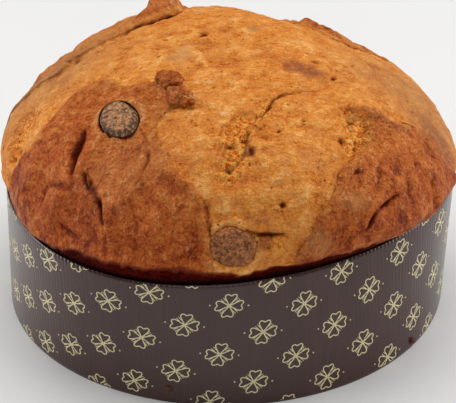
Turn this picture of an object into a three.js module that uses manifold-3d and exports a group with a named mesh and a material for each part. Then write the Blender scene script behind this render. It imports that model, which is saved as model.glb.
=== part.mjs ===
// A panettone in its baking case: one domed loaf with a cross cut in its crust, the paper case round its
// lower half and two pieces of fruit that show in the crust. Lengths are millimetres and +Z is up. The origin
// is the middle of the base and the front is at -Y. A place on the crust is a bearing, in degrees from the
// front towards +X, and a reach, the distance along the crust from the middle of the top.
import * as THREE from 'three';
import { mergeVertices } from 'three/addons/utils/BufferGeometryUtils.js';
import Module from 'manifold-3d';

// Paper case
const CASE_RADIUS = 110;
const CASE_HEIGHT = 67.2;
const PAPER = 0.8;
const CASE_SIDES = 144;
const GAP = 0.3;
const WALL_GAP = 0.5;

// Loaf: the dome is widest at its foot, a little above the case, and tucks in under that to enter the case
const DOME_RADIUS = 110.6;
const DOME_FOOT = 73.4;
const DOME_RISE = 59.4;
const DOME_FULLNESS = 2.2;
const LOAF_RADIUS = CASE_RADIUS - PAPER - WALL_GAP;
const LOAF_BASE = PAPER + GAP;
const BASE_ROUNDING = 4;
const DOME_CELLS = 58;
const LIP_FADE = 8;
const OVAL_BLEND = 8;

// Out of round, as shares of the radius: the case is round at its base and takes CASE_OVAL at its rim. lean
// is the shift towards +X, and the rest are the waves with two and three crests round the loaf.
const CASE_OVAL = { lean: -0.012, twoCos: -0.0136, twoSin: 0.0012, threeCos: 0.0039, threeSin: -0.0367 };
const DOME_OVAL = { lean: -0.0068, twoCos: -0.0153, twoSin: 0.0328, threeCos: -0.0267, threeSin: -0.0139 };

// Four flaps of skin that the cross cut left, peeled back from the top. tip is the reach of the point, half
// is half the width at the rim in degrees, and shape is how fast the flap widens from its point.
const FLAPS = [
  { tipBearing: -52, tip: 38, bearing: -37, half: 33, shape: 0.4, skin: 2.0 },
  { tipBearing: 60, tip: 76, bearing: 44, half: 28, shape: 0.6, skin: 2.4 },
  { tipBearing: 138, tip: 66, bearing: 136, half: 36, shape: 0.5, skin: 2.2 },
  { tipBearing: -145, tip: 58, bearing: -134, half: 38, shape: 0.45, skin: 2.2 },
];
const FLAP_WOBBLE = { height: 3, size: 11 };
const FLAP_EDGE = { outside: 1.5, inside: 2.5 };
const THINNING = { share: 0.6, start: 15 };
const FOLD = { height: 1.3, angle: 8, length: 38, start: 35 };

// Broad rises and hollows of the torn dough
const SWELLS = [
  { bearing: 180, reach: 26, width: 32, height: 1.8 },
  { bearing: 157, reach: 81, width: 15, height: -5 },
  { bearing: 130, reach: 88, width: 24, height: -3.8 },
  { bearing: -125, reach: 98, width: 40, height: -4.2 },
  { bearing: 24, reach: 96, width: 26, height: 2.2 },
  { bearing: -8, reach: 78, width: 18, height: 1.4 },
  { bearing: -84, reach: 96, width: 20, height: -1.2 },
  { bearing: 86, reach: 104, width: 20, height: -1.0 },
  { bearing: -73, reach: 21, width: 8, height: 1.2 },
  { bearing: 59, reach: 79, width: 7, height: 1.8 },
];
const LUMPS = [
  { size: 34, height: 1.3, seed: 1 },
  { size: 13, height: 0.7, seed: 2 },
];

// Grooves: open slits in the skin and the rough seams where the dough tore
const GROOVES = [
  { from: [-55, 83], to: [-47, 105], width: 3.2, depth: 3.0 },
  { from: [-42, 105], to: [-32, 121], width: 3.0, depth: 2.6 },
  { from: [-5, 102], to: [-3, 124], width: 2.8, depth: 2.0 },
  { from: [6, 119], to: [15, 123], width: 3.0, depth: 3.0 },
  { from: [49, 116], to: [38, 125], width: 3.0, depth: 2.2 },
  { from: [38, 125], to: [29, 132], width: 3.0, depth: 2.2 },
  { from: [8, 58], to: [2, 96], width: 6.5, depth: 2.2 },
  { from: [52, 72], to: [38, 92], width: 6.0, depth: 2.4 },
  { from: [-78, 100], to: [-77, 118], width: 6.0, depth: 1.8 },
];

// Skin that stands up where a flap's edge curls back, along a line that runs clockwise from above. rise is
// its height, curl the angle that it bends outwards, peak where along the line it stands highest, and slope
// how slowly it rises from its ends.
const EARS = [
  { from: [-130, 62], to: [-164, 66], rise: 8.6, curl: 60, thick: 2.6, lobes: 2, peak: 0.65, slope: 0.8 },
  { from: [146, 67], to: [121, 83], rise: 2.6, curl: 75, thick: 2.4, lobes: 0.8, peak: 0.35, slope: 0.7 },
];
const EAR_ROOT = 3;
const EAR_CELLS = [12, 5];
const EAR_EDGE_THINNING = 0.55;
const EAR_END_THINNING = 0.65;
const EAR_LOBES = 5;
const EAR_WAVE = { height: 0.8, along: 6, size: 6 };

// Rolled knobs of crust at the point of the front left flap: size is length, width and height
const KNOBS = [
  { bearing: -38, reach: 41.5, size: [14, 10, 7], turn: 20, lift: 0.4, seed: 11 },
  { bearing: -25, reach: 50, size: [15, 10, 7], turn: -15, lift: 0.4, seed: 12 },
];
const KNOB_DETAIL = 2;
const KNOB_LUMPS = 0.2;

// Fruit baked into the crust: size is length, width and depth, turn its twist about the crust's normal and
// sunk how far its middle lies below the crust
const FRUIT = [
  { name: 'fruit_upper_left', bearing: -44, reach: 72, size: [24.5, 17.5, 12], turn: -28, sunk: 3, seed: 21 },
  { name: 'fruit_front', bearing: 1.6, reach: 127.4, size: [25.5, 21, 11], turn: 0, sunk: 3.2, seed: 22 },
];
const FRUIT_DETAIL = 3;
const FRUIT_LUMPS = 0.05;

// Holes of the two parallel skewers on which the loaf hung to cool
const SKEWER_RADIUS = 2;
const SKEWER_BEARING = 20;
const SKEWER_LENGTH = 24;
const SKEWERS = [
  { bearing: -14.7, height: 8 },
  { bearing: 55, height: 5 },
];

// Slivers shorter than this, left by the cuts and joins, are closed up
const SMALLEST_EDGE = 0.02;

const COLOURS = { crust: 0xa8622c, paper: 0x4b3a38, fruit: 0x6f5b45 };

const DEGREE = Math.PI / 180;
const wasm = await Module();
wasm.setup();

function clamp(value) {
  return Math.min(Math.max(value, 0), 1);
}

function smooth(low, high, value) {
  const t = clamp((value - low) / (high - low));
  return t * t * (3 - 2 * t);
}

// Random number from -1 to 1 that belongs to one cell of a lattice
function cellValue(x, y, z, seed) {
  let h = Math.imul(x, 73856093) ^ Math.imul(y, 19349663) ^ Math.imul(z, 83492791) ^ Math.imul(seed, 40503);
  h = Math.imul(h ^ (h >>> 15), 739982445);
  h = Math.imul(h ^ (h >>> 12), 695872825);
  return ((h ^ (h >>> 15)) >>> 0) / 2147483648 - 1;
}

// Smooth noise from -1 to 1
function noise(x, y, z, seed) {
  const cell = [x, y, z].map(Math.floor);
  const blend = [x, y, z].map((value, axis) => smooth(0, 1, value - cell[axis]));
  let sum = 0;
  for (let corner = 0; corner < 8; corner += 1) {
    const step = [corner & 1, (corner >> 1) & 1, corner >> 2];
    const weight = step.reduce((product, on, axis) => product * (on ? blend[axis] : 1 - blend[axis]), 1);
    sum += weight * cellValue(cell[0] + step[0], cell[1] + step[1], cell[2] + step[2], seed);
  }
  return sum;
}

function outOfRound(angle, oval) {
  const two = oval.twoCos * Math.cos(2 * angle) + oval.twoSin * Math.sin(2 * angle);
  const three = oval.threeCos * Math.cos(3 * angle) + oval.threeSin * Math.sin(3 * angle);
  return oval.lean * Math.sin(angle) + two + three;
}

// Radius of the case's outer face, less an inset
function caseRadius(angle, height, inset) {
  return CASE_RADIUS * (1 + (height / CASE_HEIGHT) * outOfRound(angle, CASE_OVAL)) - inset;
}

// Section of the loaf from the top to the rim, with the reach of each of its points
function buildSection() {
  const points = [];
  const domeSteps = 120;
  const tuckSteps = 16;
  for (let i = 0; i <= domeSteps; i += 1) {
    const rise = (1 - i / domeSteps) * 90 * DEGREE;
    const radius = DOME_RADIUS * Math.max(Math.cos(rise), 0) ** (2 / DOME_FULLNESS);
    points.push({ radius, height: DOME_FOOT + DOME_RISE * Math.sin(rise), reach: 0 });
  }
  for (let i = 1; i <= tuckSteps; i += 1) {
    const t = i / tuckSteps;
    const radius = DOME_RADIUS - (DOME_RADIUS - LOAF_RADIUS) * t * t;
    points.push({ radius, height: DOME_FOOT - (DOME_FOOT - CASE_HEIGHT) * t, reach: 0 });
  }
  for (let i = 1; i < points.length; i += 1) {
    const step = Math.hypot(points[i].radius - points[i - 1].radius, points[i].height - points[i - 1].height);
    points[i].reach = points[i - 1].reach + step;
  }
  return points;
}

const SECTION = buildSection();
const RIM_REACH = SECTION[SECTION.length - 1].reach;

function sectionAt(reach) {
  const next = Math.max(SECTION.findIndex((point) => point.reach >= reach), 1);
  const [a, b] = [SECTION[next - 1], SECTION[next]];
  const t = clamp((reach - a.reach) / (b.reach - a.reach));
  return { radius: a.radius + (b.radius - a.radius) * t, height: a.height + (b.height - a.height) * t };
}

// Point of the smooth dome, before any relief
function domePoint(bearing, reach) {
  const { radius, height } = sectionAt(Math.min(Math.max(reach, 0), RIM_REACH));
  const angle = bearing * DEGREE;
  const blend = smooth(CASE_HEIGHT, DOME_FOOT + OVAL_BLEND, height);
  const oval = outOfRound(angle, CASE_OVAL) * (1 - blend) + outOfRound(angle, DOME_OVAL) * blend;
  const r = radius * (1 + oval);
  return new THREE.Vector3(r * Math.sin(angle), -r * Math.cos(angle), height);
}

function domeNormal(bearing, reach) {
  const step = 0.5;
  if (reach < 4 * step) return new THREE.Vector3(0, 0, 1);
  const along = domePoint(bearing, reach + step).sub(domePoint(bearing, reach - step));
  const turn = step / (reach * DEGREE);
  const across = domePoint(bearing + turn, reach).sub(domePoint(bearing - turn, reach));
  return along.cross(across).normalize();
}

function bearingGap(a, b) {
  return ((((a - b) % 360) + 540) % 360) - 180;
}

// How far inside a flap's edge a place lies, in millimetres, negative outside it
function flapInside(flap, bearing, reach, point) {
  const run = clamp((reach - flap.tip) / (RIM_REACH - flap.tip));
  const middle = flap.tipBearing + (flap.bearing - flap.tipBearing) * run;
  const across = flap.half * run ** flap.shape - Math.abs(bearingGap(bearing, middle));
  const side = across * DEGREE * Math.hypot(point.x, point.y);
  const { height, size } = FLAP_WOBBLE;
  return Math.min(side, reach - flap.tip) + height * noise(point.x / size, point.y / size, point.z / size, 5);
}

function flapRelief(bearing, reach, point) {
  let sum = 0;
  FLAPS.forEach((flap, index) => {
    const inside = smooth(-FLAP_EDGE.outside, FLAP_EDGE.inside, flapInside(flap, bearing, reach, point));
    const thinning = 1 - THINNING.share * smooth(flap.tip + THINNING.start, RIM_REACH, reach);
    const waves = noise(bearing / FOLD.angle, reach / FOLD.length, index, 6);
    const fold = FOLD.height * (1 - 2 * Math.abs(waves)) * smooth(flap.tip, flap.tip + FOLD.start, reach);
    sum += inside * (flap.skin * thinning + fold);
  });
  return sum;
}

function swellRelief(point) {
  return SWELLS.reduce((sum, swell) => {
    const away = point.distanceTo(domePoint(swell.bearing, swell.reach)) / swell.width;
    return sum + swell.height * Math.exp(-away * away);
  }, 0);
}

function lumpRelief(point) {
  return LUMPS.reduce((sum, lump) => {
    const { size, height, seed } = lump;
    return sum + height * noise(point.x / size, point.y / size, point.z / size, seed);
  }, 0);
}

const GROOVE_LINES = GROOVES.map((groove) => ({
  ...groove,
  line: new THREE.Line3(domePoint(...groove.from), domePoint(...groove.to)),
}));

function grooveRelief(point) {
  const nearest = new THREE.Vector3();
  return GROOVE_LINES.reduce((sum, groove) => {
    groove.line.closestPointToPoint(point, true, nearest);
    const away = nearest.distanceTo(point) / groove.width;
    return sum - groove.depth * Math.exp(-away * away);
  }, 0);
}

// Height of the real crust over the smooth dome
function relief(bearing, reach, point) {
  const fade = 1 - smooth(RIM_REACH - LIP_FADE, RIM_REACH, reach);
  const broad = swellRelief(point) + lumpRelief(point);
  return fade * (broad + flapRelief(bearing, reach, point) + grooveRelief(point));
}

function crustPoint(bearing, reach) {
  const point = domePoint(bearing, reach);
  const height = relief(bearing, reach, point);
  return point.addScaledVector(domeNormal(bearing, reach), height);
}

function geometryFrom(points, triangles) {
  const geometry = new THREE.BufferGeometry();
  const positions = points.flatMap((point) => [point.x, point.y, point.z]);
  geometry.setAttribute('position', new THREE.Float32BufferAttribute(positions, 3));
  geometry.setIndex(triangles);
  return geometry;
}

// Quads between two rings of vertex numbers, the first below the second, as triangles that face outwards
function joinRings(lower, upper, triangles) {
  lower.forEach((a, i) => {
    const next = (i + 1) % lower.length;
    triangles.push(a, lower[next], upper[next], a, upper[next], upper[i]);
  });
}

// Square grid laid over the dome so that its cells stay even: the grid's edge is the rim
function domeGrid() {
  const points = [];
  const triangles = [];
  const count = DOME_CELLS + 1;
  for (let row = 0; row < count; row += 1) {
    for (let column = 0; column < count; column += 1) {
      const a = (2 * column) / DOME_CELLS - 1;
      const b = (2 * row) / DOME_CELLS - 1;
      const wide = Math.abs(a) >= Math.abs(b);
      const share = wide ? b / (a || 1) : a / b;
      const base = wide ? (a < 0 ? 270 : 90) : b < 0 ? 0 : 180;
      const bearing = base + (wide ? 45 : -45) * share;
      points.push(crustPoint(bearing, Math.max(Math.abs(a), Math.abs(b)) * RIM_REACH));
    }
  }
  for (let row = 0; row < DOME_CELLS; row += 1) {
    for (let column = 0; column < DOME_CELLS; column += 1) {
      const corner = row * count + column;
      triangles.push(corner, corner + 1, corner + count + 1, corner, corner + count + 1, corner + count);
    }
  }
  return { points, triangles, count };
}

// Vertex numbers round the grid's edge, in order of bearing from -45 degrees
function gridEdge(count) {
  const last = count - 1;
  const steps = [...Array(last).keys()];
  const front = steps.map((i) => i);
  const right = steps.map((i) => i * count + last);
  const back = steps.map((i) => last * count + last - i);
  const left = steps.map((i) => (last - i) * count);
  return [...front, ...right, ...back, ...left];
}

function loafGeometry() {
  const { points, triangles, count } = domeGrid();
  const edge = gridEdge(count);
  const levels = [
    { height: LOAF_BASE + BASE_ROUNDING, inset: 0 },
    { height: LOAF_BASE, inset: BASE_ROUNDING },
  ];
  let above = edge;
  levels.forEach(({ height, inset }) => {
    const ring = edge.map((_, i) => {
      const angle = (-45 + (360 * i) / edge.length) * DEGREE;
      const radius = caseRadius(angle, height, PAPER + WALL_GAP + inset);
      points.push(new THREE.Vector3(radius * Math.sin(angle), -radius * Math.cos(angle), height));
      return points.length - 1;
    });
    joinRings(ring, above, triangles);
    above = ring;
  });
  points.push(new THREE.Vector3(0, 0, LOAF_BASE));
  const middle = points.length - 1;
  above.forEach((a, i) => triangles.push(middle, above[(i + 1) % above.length], a));
  return geometryFrom(points, triangles);
}

// Frame with z along the crust's outward normal at a place, x across and y up the slope
function crustFrame(bearing, reach, turn) {
  const z = domeNormal(bearing, reach);
  const angle = bearing * DEGREE;
  const across = new THREE.Vector3(Math.cos(angle), Math.sin(angle), 0);
  const x = across.addScaledVector(z, -across.dot(z)).normalize();
  const y = new THREE.Vector3().crossVectors(z, x);
  const basis = new THREE.Matrix4().makeBasis(x, y, z);
  return new THREE.Quaternion().setFromRotationMatrix(basis).multiply(
    new THREE.Quaternion().setFromAxisAngle(new THREE.Vector3(0, 0, 1), turn * DEGREE),
  );
}

// Thin bent sheet of skin that stands on the crust along a line, closed all round
function earGeometry(ear, index) {
  const [columns, rows] = EAR_CELLS;
  const points = [];
  const triangles = [];
  const bend = ear.curl * DEGREE;
  const number = (side, i, j) => (side * (columns + 1) + i) * (rows + 1) + j;
  for (let side = 0; side < 2; side += 1) {
    for (let i = 0; i <= columns; i += 1) {
      const along = i / columns;
      const bearing = ear.from[0] + (ear.to[0] - ear.from[0]) * along;
      const reach = ear.from[1] + (ear.to[1] - ear.from[1]) * along;
      const up = domeNormal(bearing, reach);
      const out = new THREE.Vector3(Math.sin(bearing * DEGREE), -Math.cos(bearing * DEGREE), 0);
      const middle = along ** (Math.log(0.5) / Math.log(ear.peak));
      const arch = Math.max(Math.sin(Math.PI * middle), 0) ** ear.slope;
      const rise = ear.rise * arch + ear.lobes * arch * noise(along * EAR_LOBES, index, 0, 7);
      const root = crustPoint(bearing, reach).addScaledVector(up, -EAR_ROOT);
      for (let j = 0; j <= rows; j += 1) {
        const high = (j / rows) * (rise + EAR_ROOT);
        const turned = bend * (j / rows);
        const climb = (Math.sin(turned) / bend) * (rise + EAR_ROOT);
        const lean = ((1 - Math.cos(turned)) / bend) * (rise + EAR_ROOT);
        const thinner = EAR_EDGE_THINNING * (high / (ear.rise + EAR_ROOT));
        const thick = ear.thick * (1 - thinner) * (1 - EAR_END_THINNING * (1 - arch));
        const away = (side ? 0.5 : -0.5) * thick;
        const wave = EAR_WAVE.height * noise(along * EAR_WAVE.along, high / EAR_WAVE.size, index, 8);
        const point = root.clone().addScaledVector(up, climb - away * Math.sin(turned));
        points.push(point.addScaledVector(out, lean + wave + away * Math.cos(turned)));
      }
    }
  }
  for (let i = 0; i < columns; i += 1) {
    for (let j = 0; j < rows; j += 1) {
      const outer = [number(0, i, j), number(0, i + 1, j), number(0, i + 1, j + 1), number(0, i, j + 1)];
      const inner = [number(1, i, j), number(1, i + 1, j), number(1, i + 1, j + 1), number(1, i, j + 1)];
      triangles.push(outer[0], outer[1], outer[2], outer[0], outer[2], outer[3]);
      triangles.push(inner[0], inner[2], inner[1], inner[0], inner[3], inner[2]);
    }
  }
  const border = [];
  for (let i = 0; i < columns; i += 1) border.push([i, 0]);
  for (let j = 0; j < rows; j += 1) border.push([columns, j]);
  for (let i = columns; i > 0; i -= 1) border.push([i, rows]);
  for (let j = rows; j > 0; j -= 1) border.push([0, j]);
  border.forEach(([i, j], k) => {
    const [m, n] = border[(k + 1) % border.length];
    const [a, b, c, d] = [number(0, i, j), number(0, m, n), number(1, m, n), number(1, i, j)];
    triangles.push(b, a, d, b, d, c);
  });
  return geometryFrom(points, triangles);
}

// Lumpy ball with the given length, width and depth, grown outwards by an allowance
function lumpGeometry(size, detail, roughness, seed, allowance) {
  const ball = new THREE.IcosahedronGeometry(1, detail);
  ball.deleteAttribute('normal');
  ball.deleteAttribute('uv');
  const geometry = mergeVertices(ball);
  const position = geometry.getAttribute('position');
  for (let i = 0; i < position.count; i += 1) {
    const point = new THREE.Vector3().fromBufferAttribute(position, i);
    const swollen = 1 + roughness * noise(point.x * 2, point.y * 2, point.z * 2, seed);
    const radii = size.map((length) => (length / 2) * swollen + allowance);
    position.setXYZ(i, point.x * radii[0], point.y * radii[1], point.z * radii[2]);
  }
  return geometry;
}

function skewerGeometry(skewer, leaving) {
  const bearing = leaving ? 180 + 2 * SKEWER_BEARING - skewer.bearing : skewer.bearing;
  const angle = bearing * DEGREE;
  const direction = SKEWER_BEARING * DEGREE;
  const geometry = new THREE.CylinderGeometry(SKEWER_RADIUS, SKEWER_RADIUS, SKEWER_LENGTH, 10);
  geometry.rotateZ(direction);
  geometry.translate(CASE_RADIUS * Math.sin(angle), -CASE_RADIUS * Math.cos(angle), skewer.height);
  return geometry;
}

// Cup with a wall and a floor one paper thick
function caseGeometry() {
  const points = [new THREE.Vector3(0, 0, 0)];
  const triangles = [];
  const levels = [[0, 0], [CASE_HEIGHT, 0], [CASE_HEIGHT, PAPER], [PAPER, PAPER]];
  const rings = levels.map(([height, inset]) => [...Array(CASE_SIDES).keys()].map((i) => {
    const angle = (2 * Math.PI * i) / CASE_SIDES;
    const radius = caseRadius(angle, height, inset);
    points.push(new THREE.Vector3(radius * Math.sin(angle), -radius * Math.cos(angle), height));
    return points.length - 1;
  }));
  points.push(new THREE.Vector3(0, 0, PAPER));
  const [outer, inner] = [rings[0], rings[3]];
  outer.forEach((a, i) => triangles.push(0, outer[(i + 1) % CASE_SIDES], a));
  for (let level = 0; level < 3; level += 1) joinRings(rings[level], rings[level + 1], triangles);
  inner.forEach((a, i) => triangles.push(a, inner[(i + 1) % CASE_SIDES], points.length - 1));
  return geometryFrom(points, triangles);
}

function toSolid(geometry) {
  const plain = geometry.clone();
  plain.deleteAttribute('normal');
  plain.deleteAttribute('uv');
  const merged = mergeVertices(plain, 1e-5);
  const vertProperties = new Float32Array(merged.getAttribute('position').array);
  const triVerts = new Uint32Array(merged.getIndex().array);
  return new wasm.Manifold(new wasm.Mesh({ numProp: 3, vertProperties, triVerts }));
}

function toGeometry(solid) {
  const { vertProperties, triVerts } = solid.asOriginal().simplify(SMALLEST_EDGE).getMesh();
  const geometry = new THREE.BufferGeometry();
  geometry.setAttribute('position', new THREE.Float32BufferAttribute(vertProperties, 3));
  geometry.setIndex(Array.from(triVerts));
  return geometry;
}

function finish(colour, roughness) {
  return new THREE.MeshStandardMaterial({ color: colour, roughness, metalness: 0 });
}

function namedMesh(name, geometry, material) {
  const mesh = new THREE.Mesh(geometry, material);
  mesh.name = name;
  return mesh;
}

// Place of a piece that is bedded in the crust, its middle lifted along the normal
function bed(piece, place, lift) {
  const normal = domeNormal(place.bearing, place.reach);
  piece.position.copy(crustPoint(place.bearing, place.reach)).addScaledVector(normal, lift);
  piece.quaternion.copy(crustFrame(place.bearing, place.reach, place.turn));
  piece.updateMatrix();
  return piece;
}

function fruitMesh(fruit) {
  const geometry = lumpGeometry(fruit.size, FRUIT_DETAIL, FRUIT_LUMPS, fruit.seed, 0);
  return bed(namedMesh(fruit.name, geometry, finish(COLOURS.fruit, 0.7)), fruit, -fruit.sunk);
}

function knobGeometry(knob) {
  const geometry = lumpGeometry(knob.size, KNOB_DETAIL, KNOB_LUMPS, knob.seed, 0);
  const place = bed(new THREE.Object3D(), knob, knob.lift);
  return geometry.applyMatrix4(place.matrix);
}

function pocketGeometry(fruit, mesh) {
  return lumpGeometry(fruit.size, FRUIT_DETAIL, FRUIT_LUMPS, fruit.seed, GAP).applyMatrix4(mesh.matrix);
}

const fruitMeshes = FRUIT.map(fruitMesh);
const skewerSolids = SKEWERS.flatMap((skewer) => [false, true].map((leaving) =>
  toSolid(skewerGeometry(skewer, leaving))));

let loaf = toSolid(loafGeometry());
EARS.forEach((ear, index) => {
  loaf = loaf.add(toSolid(earGeometry(ear, index)));
});
KNOBS.forEach((knob) => {
  loaf = loaf.add(toSolid(knobGeometry(knob)));
});
FRUIT.forEach((fruit, index) => {
  loaf = loaf.subtract(toSolid(pocketGeometry(fruit, fruitMeshes[index])));
});

let paperCase = toSolid(caseGeometry());
skewerSolids.forEach((skewer) => {
  loaf = loaf.subtract(skewer);
  paperCase = paperCase.subtract(skewer);
});

const group = new THREE.Group();
group.add(namedMesh('bread', toGeometry(loaf), finish(COLOURS.crust, 0.6)));
group.add(namedMesh('paper_case', toGeometry(paperCase), finish(COLOURS.paper, 0.45)));
fruitMeshes.forEach((mesh) => group.add(mesh));

export default group;
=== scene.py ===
import itertools
import math

import bpy
import numpy as np
from mathutils import Matrix, Vector
from mathutils.kdtree import KDTree


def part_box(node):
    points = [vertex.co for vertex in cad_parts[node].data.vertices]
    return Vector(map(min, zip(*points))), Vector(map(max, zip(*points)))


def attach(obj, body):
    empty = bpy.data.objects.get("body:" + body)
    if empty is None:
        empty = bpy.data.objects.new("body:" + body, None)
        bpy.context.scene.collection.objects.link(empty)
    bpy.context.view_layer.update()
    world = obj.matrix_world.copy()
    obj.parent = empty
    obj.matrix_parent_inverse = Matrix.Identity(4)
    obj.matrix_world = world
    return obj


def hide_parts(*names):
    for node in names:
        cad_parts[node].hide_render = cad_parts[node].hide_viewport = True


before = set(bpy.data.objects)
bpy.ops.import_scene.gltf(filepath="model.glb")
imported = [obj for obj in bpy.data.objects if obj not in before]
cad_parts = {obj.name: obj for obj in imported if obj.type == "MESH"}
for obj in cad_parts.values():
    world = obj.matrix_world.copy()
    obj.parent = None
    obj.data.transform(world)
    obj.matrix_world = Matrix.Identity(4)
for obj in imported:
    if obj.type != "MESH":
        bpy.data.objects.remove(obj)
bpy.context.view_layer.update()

# The looks of a panettone in its printed paper baking case. Lengths are millimetres unless a name says
# metres, and +Z is up. A place on the crust is a bearing, in degrees from the front (-Y) towards +X, and a
# reach, the distance along the crust from the middle of the top.
MM = 0.001
BODY = "root"

# Paper case and loaf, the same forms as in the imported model
CASE_RADIUS = 110.0
CASE_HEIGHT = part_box("paper_case")[1].z / MM
PAPER = 0.8
WALL_GAP = 0.5
DOME_RADIUS = 110.6
DOME_FOOT = 73.4
DOME_RISE = 59.4
DOME_FULLNESS = 2.2
LOAF_RADIUS = CASE_RADIUS - PAPER - WALL_GAP
LOAF_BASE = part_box("bread")[0].z / MM
BASE_ROUNDING = 4.0
OVAL_BLEND = 8.0
LIP_FADE = 5.0
CASE_OVAL = {"lean": -0.012, "twoCos": -0.0136, "twoSin": 0.0012, "threeCos": 0.0039, "threeSin": -0.0367}
DOME_OVAL = {"lean": -0.0068, "twoCos": -0.0153, "twoSin": 0.0328, "threeCos": -0.0267, "threeSin": -0.0139}

# Cells along each side of the square grid that is laid over the dome, and points of the loaf's section
DOME_CELLS = 280
DOME_SECTION = 121
TUCK_SECTION = 17

# Four flaps of dark skin, each an outline of bearings and reaches that runs out past the rim. skin is the
# thickness at the edge, curl how far the edge stands up, and tan how dark the skin is at two reaches.
PAST_RIM = 200.0
TAN_REACHES = (95.0, 130.0)
SKIN_EDGE = (-1.2, 1.8)
SKIN_THINNING = 0.7
THINNING_START = 80.0
CURL_SIZE = 10.0
CURL_INSET = 2.4
CURL_WIDTH = 1.8
FLAPS = {
    "front_left": {
        "skin": 1.4, "curl": 0.7, "tan": (1.0, 1.0),
        "outline": [
            (-2, PAST_RIM), (-3, 133), (-4, 120), (-6, 104), (-8, 100), (-14, 93), (-23, 80), (-29, 66),
            (-27, 55), (-22, 48), (-34, 38), (-46, 36), (-51, 44), (-60, 53), (-71, 58), (-76, 64),
            (-74, 76), (-69, 90), (-66, 106), (-69, 119), (-70, PAST_RIM),
        ],
    },
    "front_right": {
        "skin": 1.8, "curl": 0.9, "tan": (0.8, 1.0),
        "outline": [
            (76, PAST_RIM), (73, 132), (71, 120), (70, 106), (68, 96), (61, 90), (58, 82), (57, 75),
            (50, 83), (43, 91), (34, 99), (27, 109), (21, 122), (17, 134), (15, PAST_RIM),
        ],
    },
    "back_right": {
        "skin": 1.8, "curl": 0.9, "tan": (0.25, 0.9),
        "outline": [
            (104, PAST_RIM), (108, 120), (114, 100), (121, 84), (131, 74), (141, 67), (150, 74),
            (158, 90), (163, 112), (166, PAST_RIM),
        ],
    },
    "back_left": {
        "skin": 1.8, "curl": 0.9, "tan": (0.25, 0.9),
        "outline": [
            (-168, PAST_RIM), (-168, 118), (-167, 92), (-164, 68), (-152, 56), (-138, 57), (-126, 62),
            (-116, 68), (-107, 80), (-99, 90), (-95, 103), (-97, 120), (-96, PAST_RIM),
        ],
    },
}
# How far a flap's colour fades into the dough at its edge, by bearing
SOFT_BEARINGS = [-180, -90, -72, -50, -30, -15, 0, 20, 35, 50, 62, 75, 100, 180]
SOFT_WIDTHS = [2.5, 2.5, 1.8, 2.5, 5, 7, 7, 6, 4, 2.5, 1.8, 2.5, 3, 2.5]

# Marks that run down the dome are patterns on a cylinder of this radius, stretched along the reach
FLOW_RADIUS = 70.0
FLOW_STRETCH = 2.0

# Folds and wrinkles of the skin, which begin some way inside a flap's edge and fade above the rim
FOLDS = [
    {"height": 1.5, "angle": 8.0, "length": 38.0, "seed": 6},
    {"height": 0.75, "angle": 3.6, "length": 17.0, "seed": 9},
]
FOLD_BEND = 6.0
FOLD_START = 22.0
FOLD_FADE = 0.6

# A smaller taper keeps creases, tears and ridges at full strength nearer to their ends
LINE_TAPER = 0.6

# Broad rises and hollows of the torn dough: bearing, reach, width, height
SWELLS = [
    (180, 26, 32, 1.8), (157, 81, 15, -5.0), (130, 88, 24, -3.8), (-125, 98, 40, -4.2), (24, 96, 26, 2.2),
    (-8, 78, 18, 1.4), (-84, 96, 20, -1.2), (86, 104, 20, -1.0), (-73, 21, 8, 1.2), (59, 79, 7, 1.8),
    (-142, 87, 11, -2.2), (163, 80, 9, -1.8),
]

# Layers of noise: size, height and seed of each
LUMPS = [(34, 1.3, 1), (13, 0.7, 2)]
FLAP_WOBBLE = [(9, 1.6, 5), (3.2, 0.9, 6)]
FLAP_FRAY = [(5.5, 2.6, 33), (2.2, 1.5, 34)]
LINE_WAVER = [(6.5, 1.1, 91), (2.4, 0.45, 95)]
LIP_WOBBLE = [(7, 1.3, 80), (2.6, 0.8, 81)]
STAIN_FRAY = [(3, 0.45, 86), (1.5, 0.3, 87)]
KNOB_SPOTS = [(2.6, 1.0, 98), (1.3, 0.6, 99)]

# Holes of the torn crumb: size of the cells that they lie in, depth, radius in cells and seed
CRUMB_HOLES = [(4.0, 1.7, 0.5, 70), (2.2, 1.1, 0.55, 73)]

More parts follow.
